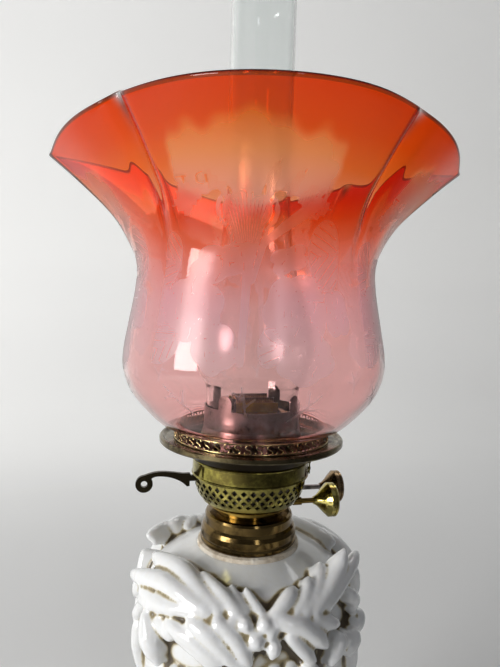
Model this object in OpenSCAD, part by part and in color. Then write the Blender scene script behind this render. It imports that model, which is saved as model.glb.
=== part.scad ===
// Twin-wick (duplex) table oil lamp: hollow glazed ceramic base, cemented collar,
// bayonet burner with two wicks, lever extinguisher, shade gallery, chimney and tulip shade.
// Millimetres, +Z up, origin at the middle of the foot's underside.
// The front of the lamp faces -Y, the winders are on +X and the extinguisher lever on -X.

/* [Ceramic base] */
// Height of the ceramic to the top of its neck
base_h = 269; // [255:1:285]
// Greatest radius of the body under the relief
body_r = 70; // [68:1:72]
// Radius of the foot
foot_r = 84; // [80:1:90]
// Ceramic wall thickness
wall = 7; // [6:0.5:8]
// Turn of the relief against the burner, in degrees
relief_turn = -13; // [-90:1:90]

/* [Collar] */
// Radius of the collar's bottom flange
collar_r = 32.6; // [32:0.1:33.5]
// Height of the collar
collar_h = 19.5; // [19:0.5:21]
// Thickness of the cement bed under the collar
cement_h = 3; // [2:0.5:4]

/* [Burner] */
// Radius of the burner's neck tube
neck_r = 22.5; // [22:0.1:22.6]
// Outer radius of the polished band
band_r = 39.2; // [38.8:0.1:40]
// Diamond openings in each row of the air basket
basket_holes = 40; // [32:2:42]
// Width of each woven wick
wick_w = 25.4; // [24:0.2:26]
// Thickness of each wick
wick_t = 2.2; // [2:0.1:2.4]
// Distance of each wick from the burner's axis
wick_y = 8.5; // [8.4:0.1:8.6]
// Radius of the winders' toothed wheels
wheel_r = 3.3; // [3:0.1:3.3]
// Radius of the winder knobs
knob_r = 11.2; // [9:0.1:11.6]

/* [Gallery] */
// Outer radius of the shade ring's rolled lip
ring_r = 61.7; // [60:0.1:64]
// Inner radius of the pierced coronet that holds the shade
coronet_r = 51.2; // [50.6:0.1:52]
// Outer radius of the chimney cup
cup_r = 32.4; // [32.4:0.1:33]
// Spring prongs on the chimney cup
cup_prongs = 4; // [4:1:6]

/* [Glass] */
// Radius of the shade's fitter, a nominal four-inch fitting
fitter_r = 49.8; // [49:0.1:50]
// Radius of the shade's lobes at the rim
lobe_r = 138; // [125:0.5:145]
// Height of the shade to the rim of a lobe
shade_h = 182; // [170:1:190]
// Number of lobes and of crimps between them
lobes = 4; // [3:1:6]
// Turn of the shade in its gallery, in degrees
shade_turn = -9; // [-45:1:45]
// Shade wall thickness
shade_wall = 2.6; // [2.4:0.1:3.2]
// Height of the chimney
chimney_h = 302; // [250:1:310]
// Radius of the chimney's tube
chimney_r = 21.5; // [20:0.1:24]
// Chimney wall thickness
chimney_wall = 1.6; // [1.4:0.1:2]

/* [Hidden] */
$fn = 72;
eps = 0.01;

// Heights above the deck, where the collar stands on its cement
deck = base_h + cement_h;
basket_z = 25.4;
spindle_z = 27.8;
plate_z = 34;
lever_z = 42.6;
band_z = 45.5;
band_h = 11.2;
skirt_z = 50;
dish_z = 70;
cup_floor_z = 79;
sleeve_z = 66;
hinge_z = 86.6;
crown_z = 90.5;
cup_top_z = 90.5;
tube_top_z = 93.5;
wick_top_z = 97.4;
prong_top_z = 100.8;

// Thin brass sheet, and the burner's inner fittings
sheet = 0.9;
tube_wall = 0.8;
tube_gap = 0.4;
tube_hx = wick_w / 2 + tube_gap + tube_wall;
tube_hy = wick_t / 2 + tube_gap + tube_wall;
spindle_y = wick_y + wick_t / 2 + wheel_r + 0.1;
spindle_r = 1.7;
bush_r = 2.6;
wheel_x = 7;
wick_foot_z = -160;
lever_x = -34;
rod_x = -17;
flap_l = 8.2;
flap_y = wick_y + 6.5;
knob_x = [41.7, 55.7];

// Colours
ceramic_white = [0.93, 0.93, 0.9];
brass = [0.78, 0.62, 0.27];
bronze = [0.36, 0.27, 0.15];
steel_brown = [0.3, 0.26, 0.2];
cotton = [0.62, 0.48, 0.33];

// ---------- curves ----------

// A smooth curve through the points p, with n steps between neighbours
function through(p, n) = [
    for (i = [0:len(p) - 2]) for (j = [0:n - 1])
        let (t = j / n, a = p[max(i - 1, 0)], b = p[i], c = p[i + 1], d = p[min(i + 2, len(p) - 1)])
            0.5 * (2 * b + (c - a) * t + (2 * a - 5 * b + 4 * c - d) * t * t
                + (3 * b - a - 3 * c + d) * t * t * t),
    p[len(p) - 1]
];

function reversed(p) = [for (i = [len(p) - 1:-1:0]) p[i]];

// A list of [radius, height] points as a lookup table of radius by height
function by_height(p) = [for (q = p) [q[1], q[0]]];

// ---------- ceramic base ----------

base_outline = through([
    [foot_r - 2, 0], [foot_r, 5], [foot_r - 3, 13], [foot_r * 0.8, 22], [foot_r * 0.63, 35],
    [foot_r * 0.545, 52], [foot_r * 0.57, 70], [body_r * 0.78, 92], [body_r * 0.9, 125],
    [body_r * 0.98, 170], [body_r, base_h * 0.79], [body_r * 0.985, base_h * 0.875],
    [body_r * 0.925, base_h * 0.935], [body_r * 0.78, base_h * 0.97], [body_r * 0.6, base_h * 0.99],
    [35.4, base_h]], 2);

reservoir_outline = through([
    [26, base_h - 6], [38, base_h - 9.5], [body_r * 0.74, base_h * 0.935], [body_r - wall - 4, base_h * 0.87],
    [body_r - wall, base_h * 0.78], [body_r * 0.98 - wall, 170], [body_r * 0.9 - wall, 125],
    [body_r * 0.76 - wall, 97], [25, 84], [eps, 82]], 2);

foot_hollow_outline = through([
    [foot_r - 13, 0], [foot_r - 15, 10], [foot_r * 0.63 - 4, 24], [foot_r * 0.545 - wall, 46],
    [foot_r * 0.545 - wall - 2, 62], [eps, 72]], 2);

// A ball of the relief at [azimuth, radius, height over the shoulder's top, ball radius].
// Azimuth 0 is the front of the relief and azimuth 90 its +X side.
module relief_ball(b) {
    translate([b[1] * sin(b[0]), -b[1] * cos(b[0]), base_h + b[2]]) sphere(b[3], $fn = 6);
}

// One rounded finger of a leaf, from root to tip, with a keel that ties it to the wall
module finger(root, tip, keel_r, keel_z) {
    hull() {
        relief_ball(root);
        relief_ball(tip);
        relief_ball([(root[0] + tip[0]) / 2, keel_r, keel_z, 3]);
    }
}

// The shoulder leaves, each finger as [root, tip]: one leaf droops towards -X, the other rises towards +X
shoulder_fingers = [
    [[-1, 64, -12, 3.5], [-5, 53, -4, 2.6]],
    [[-7, 65, -12, 4.5], [-21, 51, -3.5, 3.4]],
    [[-13, 66, -11, 6], [-43, 56, -1, 5]],
    [[-20, 67, -12, 5.5], [-66, 68, -13, 6]],
    [[-24, 68, -13, 5], [-74, 77, -19, 5.4]],
    [[-29, 69, -15, 4.5], [-52, 74, -17, 3.6]],
    [[9, 66, -12, 5], [19, 54, -7, 4.4]],
    [[16, 67, -12, 4.5], [27, 56, -3, 4]],
    [[22, 68, -12, 4.5], [37, 58, 1, 4]],
    [[28, 69, -12, 5], [49, 60, 6, 4.6]],
    [[36, 70, -12, 5], [59, 64, 6, 4.4]],
    [[48, 70, -9, 5], [76, 68, -2, 5]]];

// The leaves and scrolls just below them
flank_fingers = [
    [[-3, 68, -18, 5], [-31, 74, -22, 4.4]],
    [[-4, 70, -27, 5], [-26, 74, -34, 4.4]],
    [[-5, 71, -36, 5], [-18, 73, -46, 4]],
    [[-40, 69, -28, 8], [-46, 69, -38, 8.6]],
    [[12, 69, -20, 5], [35, 74, -21, 5]],
    [[14, 70, -29, 5], [39, 73, -33, 5.4]],
    [[46, 72, -17, 4.5], [55, 73, -27, 6]],
    [[8, 69, -14, 4], [7, 71, -30, 4]]];

// Fingers of the long leaves that hang down the body
hanging_fingers = [
    [[-2, 70, -50, 5], [0, 70, -104, 3.4]],
    [[14, 70, -46, 5], [24, 69, -92, 3.4]],
    [[30, 70, -44, 5], [46, 70, -80, 3.4]],
    [[-18, 70, -52, 5], [-24, 69, -92, 3.4]],
    [[-34, 70, -54, 5], [-46, 70, -80, 3.4]],
    [[66, 70, -30, 6], [68, 70, -60, 4]],
    [[-68, 70, -36, 6], [-70, 70, -62, 4]]];

// Fingers of the leaves that lie on the foot, each given for one half
foot_fingers = [for (a = [15, 60])
    [[a, 47, 52 - base_h, 4.5], [a + 3, foot_r - 8, 14 - base_h, 4]]];

module acanthus_relief() {
    for (turn = [0, 180]) rotate(turn) {
        for (f = shoulder_fingers) finger(f[0], f[1], 52, -13);
        for (f = flank_fingers) finger(f[0], f[1], 66, (f[0][2] + f[1][2]) / 2);
        for (f = hanging_fingers) finger(f[0], f[1], 66, (f[0][2] + f[1][2]) / 2);
    }
    for (turn = [0, 90, 180, 270]) rotate(turn) for (f = foot_fingers)
        finger(f[0], f[1], foot_r * 0.68, 22 - base_h);
}

module ceramic_body() {
    color(ceramic_white)
    difference() {
        union() {
            rotate_extrude($fn = 44) polygon(concat([[0, 0]], base_outline, [[0, base_h]]));
            rotate(relief_turn) acanthus_relief();
        }
        rotate_extrude($fn = 28)
            polygon(concat([[0, base_h + 1], [26, base_h + 1]], reservoir_outline, [[0, 82]]));
        rotate_extrude($fn = 28)
            polygon(concat([[0, -1], [foot_r - 13, -1]], foot_hollow_outline, [[0, 72]]));
    }
}

module cement_ring() {
    color([0.87, 0.82, 0.72])
    rotate_extrude() polygon([[26, base_h], [34.6, base_h], [34.2, base_h + cement_h * 0.8],
        [collar_r - 0.4, deck], [26, deck]]);
}

module mount_collar() {
    lip_r = neck_r + 0.4;
    groove_r = 26.4;
    color(bronze)
    translate([0, 0, deck])
    difference() {
        rotate_extrude() polygon([
            [24.6, 0], [collar_r - 0.8, 0], [collar_r, 1], [collar_r, 2.4], [collar_r - 0.8, 3.4],
            [collar_r - 0.3, 5], [collar_r - 0.3, 8.5], [collar_r - 1.4, 11], [29.8, 12.6], [29.8, collar_h - 2],
            [29.1, collar_h - 0.6], [27.6, collar_h], [lip_r, collar_h], [lip_r, 16],
            [groove_r, 16], [groove_r, 9.5], [24.6, 9.5]]);
        for (a = [0, 120, 240]) rotate(a + 40) translate([lip_r - 1, -1.9, 9.5])
            cube([groove_r - lip_r + 1, 3.8, collar_h]);
    }
}

// ---------- burner ----------

module burner_neck() {
    color(brass)
    translate([0, 0, deck])
    difference() {
        rotate_extrude() polygon([[neck_r - 1.6, 8], [neck_r, 8], [neck_r, basket_z - 1.6],
            [27.8, basket_z - 0.7], [27.8, basket_z], [neck_r - 1.6, basket_z]]);
        for (a = [0, 120, 240]) rotate(a) translate([neck_r - 2, 0, 12.5])
            rotate([0, 90, 0]) cylinder(r = 1.5, h = 3, $fn = 32);
    }
}

module bayonet_pins() {
    color(steel_brown)
    translate([0, 0, deck + 12.5])
    for (a = [0, 120, 240]) rotate(a) translate([neck_r - 1.6, 0, 0])
        rotate([0, 90, 0]) cylinder(r = 1.5, h = 5, $fn = 32);
}

basket_outline = [[27.8, basket_z], [32.4, basket_z + 3.2], [35.6, basket_z + 8], [37.4, basket_z + 13.5],
    [band_r - 1, band_z - 0.2], [band_r - 1, band_z + 0.9]];
// Rows of diamond openings, each as [height over the basket's foot, size, lean]
basket_rows = [[16.8, 2.8, 5], [13.6, 2.8, 12], [10.4, 2.6, 20], [7.3, 2.4, 30]];

module basket_hole(row_z, size, lean) {
    r = lookup(row_z, by_height(basket_outline));
    translate([r, 0, row_z]) rotate([0, lean, 0]) rotate([0, 90, 0])
        rotate(45) cube([size, size, 5], center = true);
}

module air_basket() {
    inner = [for (p = reversed(basket_outline)) [p[0] - sheet, p[1]]];
    step = 360 / basket_holes;
    color(brass)
    translate([0, 0, deck])
    difference() {
        rotate_extrude() polygon(concat(basket_outline, inner));
        for (k = [0:len(basket_rows) - 1], i = [0:basket_holes - 1])
            rotate((i + k / 2) * step)
                basket_hole(basket_z + basket_rows[k][0], basket_rows[k][1], basket_rows[k][2]);
        for (y = [-spindle_y, spindle_y]) translate([20, y, spindle_z]) rotate([0, 90, 0])
            cylinder(r = bush_r, h = 20, $fn = 32);
        translate([-band_r - 2, -2.1, lever_z - 6]) cube([12, 4.2, 12]);
    }
}

module polished_band() {
    color(brass)
    translate([0, 0, deck + band_z])
    rotate_extrude() polygon([[band_r - 1, 0], [band_r + 0.3, 0], [band_r + 0.6, 0.6], [band_r + 0.3, 1.2],
        [band_r, 1.5], [band_r, band_h - 1.5], [band_r + 0.3, band_h - 1.2], [band_r + 0.6, band_h - 0.6],
        [band_r + 0.3, band_h], [band_r - 1, band_h]]);
}

module tube_plate() {
    plate_r = lookup(plate_z, by_height(basket_outline)) - sheet - 0.1;
    color(steel_brown)
    translate([0, 0, deck + plate_z])
    difference() {
        cylinder(r = plate_r, h = 1);
        for (y = [-wick_y, wick_y])
            translate([-tube_hx, y - tube_hy, -1]) cube([2 * tube_hx, 2 * tube_hy, 3]);
        for (a = [0:30:330])
            rotate(a + 15) translate([plate_r - 6, 0, -1]) cylinder(r = 2.5, h = 3, $fn = 32);
    }
}

// A flat tube for one wick, with windows in its outer face for the toothed wheels
module wick_tube(side) {
    color(steel_brown)
    translate([0, 0, deck])
    difference() {
        translate([-tube_hx, side * wick_y - tube_hy, 20]) cube([2 * tube_hx, 2 * tube_hy, tube_top_z - 20]);
        translate([-tube_hx + tube_wall, side * wick_y - tube_hy + tube_wall, 19])
            cube([2 * (tube_hx - tube_wall), 2 * (tube_hy - tube_wall), tube_top_z]);
        for (x = [-wheel_x, wheel_x])
            translate([x - 1.2, side * (wick_y + tube_hy - tube_wall / 2) - tube_wall, spindle_z - 3.6])
                cube([2.4, 2 * tube_wall, 7.2]);
    }
}

module spindle_bracket() {
    color(steel_brown)
    translate([-15.6, 0, deck]) rotate([90, 0, 90]) linear_extrude(1)
    difference() {
        polygon([[-12, 24.4], [12, 24.4], [15.4, 26.8], [15.4, plate_z], [-15.4, plate_z], [-15.4, 26.8]]);
        for (y = [-spindle_y, spindle_y]) translate([y, spindle_z]) circle(r = spindle_r + 0.06, $fn = 32);
    }
}

module spindle_bushes() {
    color(brass)
    for (y = [-spindle_y, spindle_y]) translate([27.4, y, deck + spindle_z]) rotate([0, 90, 0])
    difference() {
        cylinder(r = bush_r, h = 5.6, $fn = 32);
        translate([0, 0, -1]) cylinder(r = spindle_r + 0.06, h = 8, $fn = 32);
    }
}

module lever_bracket() {
    color(steel_brown)
    for (y = [-2.9, 1.7]) translate([0, y + 1.2, deck]) rotate([90, 0, 0])
    linear_extrude(1.2)
    difference() {
        union() {
            polygon([[-33, plate_z + 1], [-26, plate_z + 1], [lever_x + 2.2, lever_z + 0.6],
                [lever_x - 1.9, lever_z + 0.6]]);
            translate([lever_x, lever_z]) circle(r = 2.2, $fn = 32);
        }
        translate([lever_x, lever_z]) circle(r = 1.2, $fn = 32);
    }
}

module lever_pin() {
    color(brass)
    translate([lever_x, 3.3, deck + lever_z]) rotate([90, 0, 0]) cylinder(r = 1.2, h = 6.6, $fn = 32);
}

latch_turn = -12;

module latch_tab() {
    color(brass)
    rotate(latch_turn) translate([band_r + 0.6, 0, deck + band_z])
    difference() {
        translate([0, -3.6, 0.4]) cube([0.9, 7.2, band_h]);
        translate([-1, 0, 7.6]) rotate([0, 90, 0]) cylinder(r = 1, h = 4, $fn = 32);
        translate([-1, 0, 3.2]) rotate([0, 90, 0]) cylinder(r = 1, h = 4, $fn = 32);
    }
}

module latch_rivets() {
    color(steel_brown)
    rotate(latch_turn) for (z = [3.2, 7.6]) translate([band_r, 0, deck + band_z + z]) rotate([0, 90, 0]) {
        cylinder(r = 1, h = 1.6, $fn = 32);
        translate([0, 0, 1.5]) cylinder(r1 = 1.6, r2 = 0.9, h = 0.7, $fn = 32);
    }
}

// ---------- gallery ----------

module shade_ring() {
    skirt_r = band_r - 1.35;
    hub_z = dish_z - 12;
    color(bronze)
    translate([0, 0, deck])
    rotate_extrude() polygon([
        [skirt_r - sheet, skirt_z], [skirt_r, skirt_z], [skirt_r, hub_z - 1], [40.5, hub_z - 0.4],
        [45, hub_z + 5.4], [48.8, hub_z + 10.6], [ring_r - 4.2, hub_z + 10.8], [ring_r - 3.2, hub_z + 10],
        [ring_r - 2.2, hub_z + 9.4], [ring_r - 0.9, hub_z + 9.4], [ring_r, hub_z + 10.3],
        [ring_r, hub_z + 12.6], [ring_r - 0.9, hub_z + 13.5], [ring_r - 2.2, hub_z + 13.5],
        [ring_r - 3.2, hub_z + 12.6], [ring_r - 4.4, hub_z + 12], [48.4, hub_z + 12], [44, hub_z + 6.8],
        [39.6, hub_z + 1.2], [38, hub_z + 1], [skirt_r - sheet, hub_z + 1]]);
}

module shade_coronet() {
    color(bronze)
    translate([0, 0, deck + dish_z])
    difference() {
        rotate_extrude() translate([coronet_r, 0]) square([0.9, 7.2]);
        for (a = [0:15:345]) rotate(a) translate([coronet_r, 0, 3.9]) rotate([0, 90, 0])
            cylinder(r = 2, h = 4, center = true, $fn = 24);
    }
}

module gallery_cone() {
    low_r = band_r - 2.3;
    low_z = dish_z - 11;
    color(steel_brown)
    translate([0, 0, deck])
    difference() {
        rotate_extrude() polygon([[low_r - 1.1, low_z], [low_r + 0.4, low_z], [cup_r + 0.2, cup_floor_z - 1],
            [cup_r - 0.8, cup_floor_z - 1]]);
        for (a = [0:20:340]) rotate(a) translate([35, 0, low_z + 9]) rotate([0, 76, 0])
            cylinder(r = 3, h = 8, center = true, $fn = 24);
    }
}

// A cup with round-topped spring prongs, the first of them turned by prong_turn from the front
module chimney_cup() {
    prong_turn = -45;
    prong_hw = 5;
    color(steel_brown)
    translate([0, 0, deck]) {
        rotate_extrude() polygon([[27, cup_floor_z - 1], [cup_r, cup_floor_z - 1], [cup_r, cup_top_z],
            [cup_r - 0.8, cup_top_z], [cup_r - 0.8, cup_floor_z], [27, cup_floor_z]]);
        intersection() {
            rotate_extrude() translate([cup_r - 0.8, cup_top_z - 1])
                square([0.8, prong_top_z - cup_top_z + 2]);
            for (i = [0:cup_prongs - 1]) rotate(prong_turn + i * 360 / cup_prongs)
                rotate([90, 0, 0]) linear_extrude(cup_r + 1) {
                    translate([-prong_hw, cup_top_z - 2])
                        square([2 * prong_hw, prong_top_z - prong_hw - cup_top_z + 2]);
                    translate([0, prong_top_z - prong_hw]) circle(r = prong_hw, $fn = 48);
                }
        }
    }
}

dome_outline = [[29.3, cup_floor_z], [29.3, cup_floor_z + 3.4], [27.4, crown_z - 5.6],
    [22, crown_z - 3.2], [15, crown_z - 1.6], [8, crown_z - 0.5], [0, crown_z]];

module flame_dome() {
    inside = [for (p = reversed(dome_outline)) [max(p[0] - sheet, 0), p[1] - (p[0] > 29 ? 0 : sheet)]];
    color(brass)
    translate([0, 0, deck])
    difference() {
        rotate_extrude() polygon(concat(dome_outline, inside));
        for (side = [-1, 1]) translate([-17, side * 10.4 - 6.2, cup_floor_z + 4]) cube([34, 12.4, 30]);
    }
}

// ---------- glass ----------

shade_z = dish_z + 0.3;
waist_z = 0.6 * shade_h;

// Meridian of a lobe, as [radius, height above the shade's foot]
shade_meridian = through([
    [fitter_r, 0], [fitter_r, 6.2], [52.5, 8], [61, 10.3], [72, 20.5], [81, 32], [85.8, 45], [86, 58],
    [82.8, 77], [79.2, 98], [79.4, waist_z + 4], [84.5, 0.695 * shade_h], [lobe_r - 42, 0.795 * shade_h],
    [lobe_r - 21, 0.905 * shade_h], [lobe_r, shade_h]], 2);

// How far a meridian point follows the rim's folds: 0 up to the waist, 1 at the rim
function fold_share(z) = let (s = max(0, (z - waist_z + 14) / (shade_h - waist_z + 14))) pow(s, 1.5);

// The rim's fold at an azimuth, as [radius, height]: a broad sweep and a tight pinch at each crimp.
// The front and back lobes are rounder, the side ones more pointed.
function rim_fold(az) =
    let (pitch = 360 / lobes, from_crimp = abs(((az + 3600) % pitch) - pitch / 2),
        sweep = pow((1 + cos(lobes * from_crimp)) / 2, 0.7 + 0.3 * cos(2 * az)),
        pinch = exp(-pow(from_crimp / 2.8, 2)))
    [-21, 7] * sweep + [-6, 6] * pinch;

function shade_point(i, az, inward) =
    let (p = shade_meridian[i], q = shade_meridian[max(i - 1, 0)],
        n = shade_meridian[min(i + 1, len(shade_meridian) - 1)], along = (n - q) / norm(n - q),
        f = p + fold_share(p[1]) * rim_fold(az) - inward * [along[1], -along[0]])
    [f[0] * sin(az), -f[0] * cos(az), f[1]];

// Azimuths of the facets, closer together at the crimps
facets_per_lobe = 18;
shade_azimuths = [for (k = [0:lobes - 1]) for (j = [0:facets_per_lobe - 1])
    let (t = j / facets_per_lobe) (k + t + 0.75 * sin(360 * t) / 6.2832) * 360 / lobes];

module shade() {
    rows = len(shade_meridian);
    cols = len(shade_azimuths);
    outer = [for (i = [0:rows - 1]) for (az = shade_azimuths) shade_point(i, az, 0)];
    inner = [for (i = [0:rows - 1]) for (az = shade_azimuths) shade_point(i, az, shade_wall)];
    function at(skin, i, j) = skin * rows * cols + i * cols + j % cols;
    faces = concat(
        [for (i = [0:rows - 2]) for (j = [0:cols - 1]) each [
            [at(0, i, j), at(0, i + 1, j), at(0, i, j + 1)],
            [at(0, i, j + 1), at(0, i + 1, j), at(0, i + 1, j + 1)],
            [at(1, i, j), at(1, i, j + 1), at(1, i + 1, j)],
            [at(1, i, j + 1), at(1, i + 1, j + 1), at(1, i + 1, j)]]],
        [for (j = [0:cols - 1]) each [
            [at(0, 0, j), at(0, 0, j + 1), at(1, 0, j)],
            [at(1, 0, j), at(0, 0, j + 1), at(1, 0, j + 1)],
            [at(0, rows - 1, j), at(1, rows - 1, j), at(0, rows - 1, j + 1)],
            [at(1, rows - 1, j), at(1, rows - 1, j + 1), at(0, rows - 1, j + 1)]]]);
    color([0.88, 0.45, 0.4, 0.5])
    translate([0, 0, deck + shade_z]) rotate(shade_turn)
        polyhedron(points = concat(outer, inner), faces = faces);
}

chimney_foot_z = cup_floor_z + 0.2;

module chimney() {
    foot_outer_r = 31.2;
    outline = through([[foot_outer_r, 0], [foot_outer_r, 22], [34, 29], [38.3, 38], [40.3, 50], [39.4, 62],
        [36, 75], [31, 90], [26.6, 106], [23.4, 127], [chimney_r, 153], [chimney_r, 200],
        [chimney_r, chimney_h]], 3);
    inner = [for (p = reversed(outline)) [p[0] - chimney_wall, p[1]]];
    color([0.9, 0.95, 0.95, 0.3])
    translate([0, 0, deck + chimney_foot_z])
    rotate_extrude() polygon(concat(outline, inner));
}

// ---------- winders and wicks ----------

module spindle(side, knob_at) {
    color(steel_brown)
    translate([-16.2, side * spindle_y, deck + spindle_z]) rotate([0, 90, 0])
        cylinder(r = spindle_r, h = knob_at + 16.2 + 7, $fn = 32);
}

module spur_wheels(side) {
    color(steel_brown)
    for (x = [-wheel_x, wheel_x]) translate([x - 0.7, side * spindle_y, deck + spindle_z]) rotate([0, 90, 0])
    difference() {
        cylinder(r = wheel_r, h = 1.4, $fn = 32);
        translate([0, 0, -1]) cylinder(r = spindle_r, h = 4, $fn = 32);
        for (a = [0:40:320]) rotate(a) translate([wheel_r + 0.15, 0, -1]) cylinder(r = 0.55, h = 4, $fn = 16);
    }
}

module knob(side, knob_at) {
    color(brass)
    translate([knob_at, side * spindle_y, deck + spindle_z]) rotate([0, 90, 0])
    difference() {
        rotate_extrude() polygon(concat([[0, 0]],
            through([[2.6, 0], [3.2, 1.6], [5.6, 4.4], [8.4, 7], [knob_r - 0.8, 9.2]], 3),
            [[knob_r, 10], [knob_r, 12.2], [knob_r - 0.6, 12.5], [knob_r - 0.6, 12.9], [knob_r, 13.2],
            [knob_r, 14.2], [knob_r - 0.8, 15], [5, 15], [4, 15.6], [0, 16]]));
        translate([0, 0, -1]) cylinder(r = spindle_r, h = 8, $fn = 32);
    }
}

module wick(side) {
    color(cotton)
    translate([-wick_w / 2, side * wick_y - wick_t / 2, deck + wick_foot_z])
        cube([wick_w, wick_t, wick_top_z - wick_foot_z]);
}

// ---------- extinguisher ----------

module snuffer_lever() {
    color(bronze)
    translate([0, 1.3, deck + lever_z]) rotate([90, 0, 0]) linear_extrude(2.6)
    difference() {
        union() {
            translate([lever_x, 0]) circle(r = 2.6, $fn = 32);
            translate([lever_x, -1.3]) square([20.5, 2.6]);
            polygon(concat([[lever_x, 1.6], [-40.4, 1.6], [-41.2, 3.2]],
                through([[-46, 3.2], [-54, 4.4], [-62, 4.8], [-69, 3.4], [-74.6, 0.8], [-76.4, -3]], 4),
                through([[-67.4, -2.6], [-66.4, 0.4], [-62, 1.8], [-54, 0.8], [-47, -2.2], [-43, -5.6]], 4),
                [[-41.2, -5.4], [-41.2, -2], [lever_x, -2]]));
            translate([-71, -3]) circle(r = 5.6, $fn = 48);
        }
        translate([lever_x, 0]) circle(r = 1.26, $fn = 32);
        translate([-71, -3]) circle(r = 2.1, $fn = 32);
    }
}

module snuffer_sleeves() {
    half_x = tube_hx + 1.3;
    half_y = tube_hy + 1.4;
    color(steel_brown)
    translate([0, 0, deck]) {
        for (side = [-1, 1]) {
            difference() {
                translate([-half_x, side * wick_y - half_y, sleeve_z - 2])
                    cube([2 * half_x, 2 * half_y, hinge_z - sleeve_z + 1.2]);
                translate([-half_x + sheet, side * wick_y - half_y + sheet, sleeve_z - 3])
                    cube([2 * (half_x - sheet), 2 * (half_y - sheet), hinge_z - sleeve_z + 10]);
            }
            for (x = [-half_x, half_x - 0.6]) difference() {
                translate([x, side * (wick_y + half_y + 1.9) - 2, hinge_z - 1.4]) cube([0.6, 4, 2.6]);
                translate([x - 1, side * flap_y, hinge_z]) rotate([0, 90, 0])
                    cylinder(r = 0.45, h = 3, $fn = 24);
            }
        }
        difference() {
            translate([rod_x - 2, -wick_y - 2, sleeve_z - 2])
                cube([-half_x - rod_x + 2 + eps, 2 * wick_y + 4, 3]);
            translate([rod_x, 0, sleeve_z - 3]) cylinder(r = 0.9, h = 5, $fn = 24);
        }
    }
}

module lift_rod() {
    color(steel_brown)
    translate([rod_x, 0, deck]) {
        translate([0, 0, lever_z + 1.6]) cylinder(r = 1.5, h = sleeve_z - 2 - lever_z - 1.6, $fn = 32);
        translate([0, 0, sleeve_z - 3]) cylinder(r = 0.9, h = 4, $fn = 24);
    }
}

// An extinguisher flap, standing beside its wick, on a hinge pin along X
module flap(side) {
    half_x = tube_hx;
    color(bronze)
    translate([0, side * flap_y, deck + hinge_z]) {
        translate([-half_x - 1, 0, 0]) rotate([0, 90, 0]) cylinder(r = 0.4, h = 2 * half_x + 2, $fn = 24);
        translate([-half_x + 0.2, 0, 0]) rotate([0, 90, 0]) cylinder(r = 0.7, h = 2 * half_x - 0.4, $fn = 24);
        translate([-half_x + 0.2, -0.4, 0]) cube([2 * half_x - 0.4, 0.8, flap_l]);
    }
}

// ---------- nodes ----------

ceramic_body();
cement_ring();
mount_collar();
burner_neck();
bayonet_pins();
air_basket();
polished_band();
tube_plate();
wick_tube(-1);  // wick_tube_front
wick_tube(1);  // wick_tube_rear
spindle_bracket();
spindle_bushes();
lever_bracket();
lever_pin();
latch_tab();
latch_rivets();
shade_ring();
shade_coronet();
gallery_cone();
chimney_cup();
flame_dome();
shade();
chimney();
spindle(-1, knob_x[0]);  // front_spindle
spur_wheels(-1);  // front_spur_wheels
knob(-1, knob_x[0]);  // front_knob
spindle(1, knob_x[1]);  // rear_spindle
spur_wheels(1);  // rear_spur_wheels
knob(1, knob_x[1]);  // rear_knob
wick(-1);  // front_wick
wick(1);  // rear_wick
snuffer_lever();
snuffer_sleeves();
lift_rod();
flap(-1);  // front_flap
flap(1);  // rear_flap
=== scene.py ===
"""Looks of a twin-wick oil lamp: glazed ceramic base, brass burner, etched tulip shade and chimney.

Metres, +Z up, origin under the middle of the foot. The front faces -Y, the winders are on +X.
"""

import math

import bpy
import numpy as np
from mathutils import Matrix, Vector


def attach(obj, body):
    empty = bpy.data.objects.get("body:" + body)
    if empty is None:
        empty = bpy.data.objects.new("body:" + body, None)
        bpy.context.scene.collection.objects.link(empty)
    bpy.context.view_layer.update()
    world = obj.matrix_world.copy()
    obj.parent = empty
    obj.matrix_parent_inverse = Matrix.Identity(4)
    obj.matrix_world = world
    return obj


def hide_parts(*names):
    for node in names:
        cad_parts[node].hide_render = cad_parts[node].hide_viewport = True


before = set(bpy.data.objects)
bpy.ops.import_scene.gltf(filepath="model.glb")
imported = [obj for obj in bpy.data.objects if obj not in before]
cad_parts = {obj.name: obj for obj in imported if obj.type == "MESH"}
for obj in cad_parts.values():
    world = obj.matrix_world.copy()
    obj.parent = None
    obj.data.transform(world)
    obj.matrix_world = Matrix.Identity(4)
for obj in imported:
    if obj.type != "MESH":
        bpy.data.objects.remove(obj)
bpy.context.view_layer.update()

MM = 0.001
BASE_H = 269.0
DECK = 272.0
BODY_R = 70.0
FOOT_R = 84.0
WALL = 7.0
RELIEF_TURN = -13.0
REAR_TOP = -6.0

# ---------- curves and meshes ----------


def through(points, steps):
    """A smooth curve through the points, with that many steps between neighbours."""
    p = np.array(points, float)
    out = []
    for i in range(len(p) - 1):
        a, b, c, d = p[max(i - 1, 0)], p[i], p[i + 1], p[min(i + 2, len(p) - 1)]
        for j in range(steps):
            t = j / steps
            out.append(0.5 * (2 * b + (c - a) * t + (2 * a - 5 * b + 4 * c - d) * t * t
                              + (3 * b - a - 3 * c + d) * t ** 3))
    out.append(p[-1])
    return np.array(out)


def add_mesh(name, verts, faces, smooth=True):
    """A mesh object from vertices in millimetres."""
    mesh = bpy.data.meshes.new(name)
    mesh.from_pydata((np.asarray(verts, float) * MM).tolist(), [], [list(map(int, f)) for f in faces])
    mesh.update()
    if smooth:
        mesh.shade_smooth()
    obj = bpy.data.objects.new(name, mesh)
    bpy.context.scene.collection.objects.link(obj)
    return obj


def set_values(mesh, name, values):
    """One number per vertex, for a material to read by that name."""
    layer = mesh.attributes.new(name, "FLOAT", "POINT")
    layer.data.foreach_set("value", np.asarray(values, np.float32))


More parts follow.
